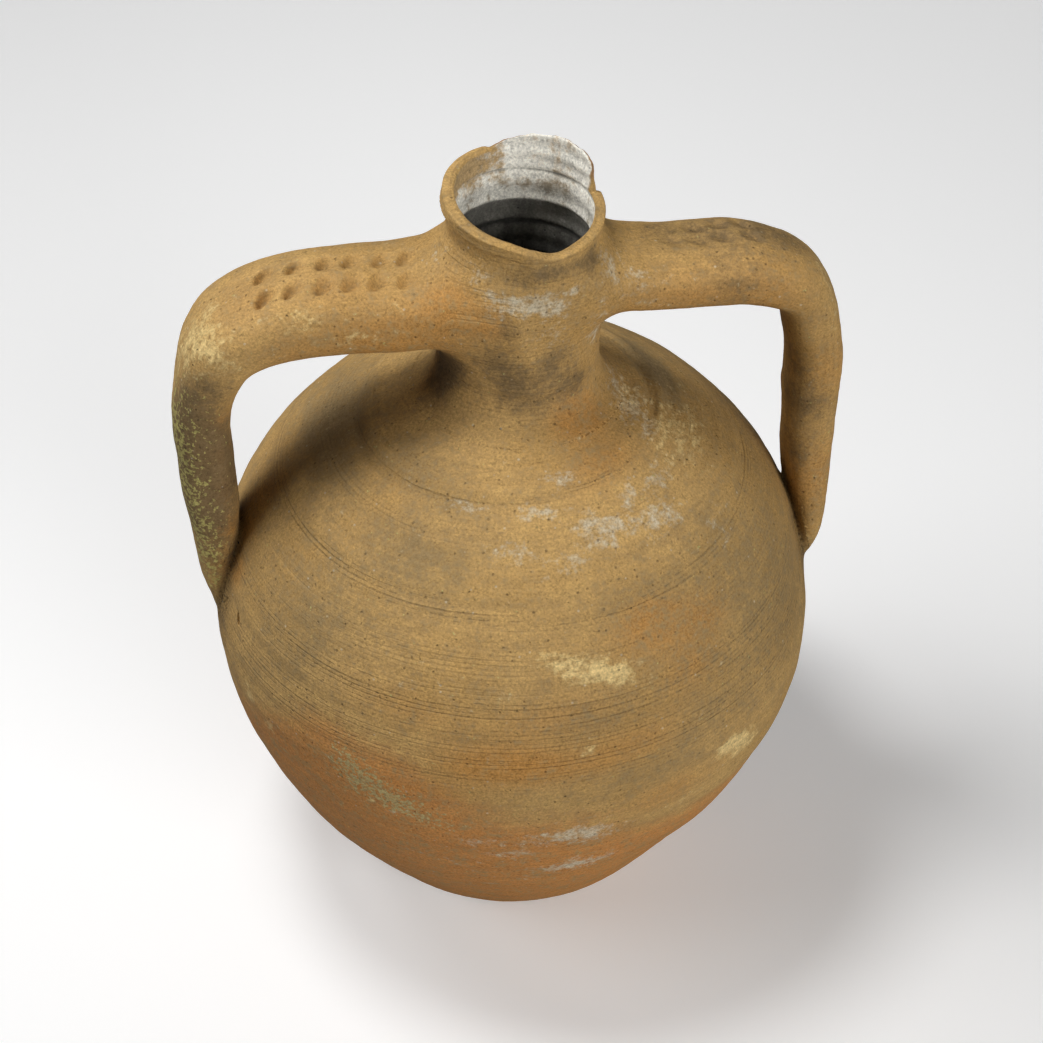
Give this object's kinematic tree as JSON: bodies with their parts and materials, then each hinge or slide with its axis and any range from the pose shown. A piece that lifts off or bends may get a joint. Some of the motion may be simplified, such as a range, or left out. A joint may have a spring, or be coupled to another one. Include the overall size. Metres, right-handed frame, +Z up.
{
  "type": "two-handled amphora",
  "caption": "Hand-thrown earthenware amphora: rounded belly, short leaning neck with a chipped slanted lip, and broad strap handles from neck to shoulder with finger dimples.",
  "frame": {"origin": "centre of the underside of the base", "axes": "+Z up, handles along X (left handle on -X), -Y is the front"},
  "size_m": [0.3533, 0.33, 0.4551],
  "materials": {
    "clay_base": "matte unglazed earthenware, reddish and earth stained",
    "clay_body": "matte unglazed earthenware with wheel striations and lime deposits",
    "clay_shoulder": "matte unglazed earthenware, mottled ochre and grey",
    "clay_neck": "matte unglazed earthenware, limed inside",
    "clay_lip": "matte unglazed earthenware, smoothed by hand, chipped",
    "clay_handle": "matte unglazed earthenware, hand smoothed with lichen specks"
  },
  "bodies": {
    "root": {"base_disc": "clay_base", "lower_body": "clay_body", "upper_body": "clay_shoulder", "neck": "clay_neck", "rim_band": "clay_lip", "left_handle": "clay_handle", "right_handle": "clay_handle"}
  },
  "joints": []
}
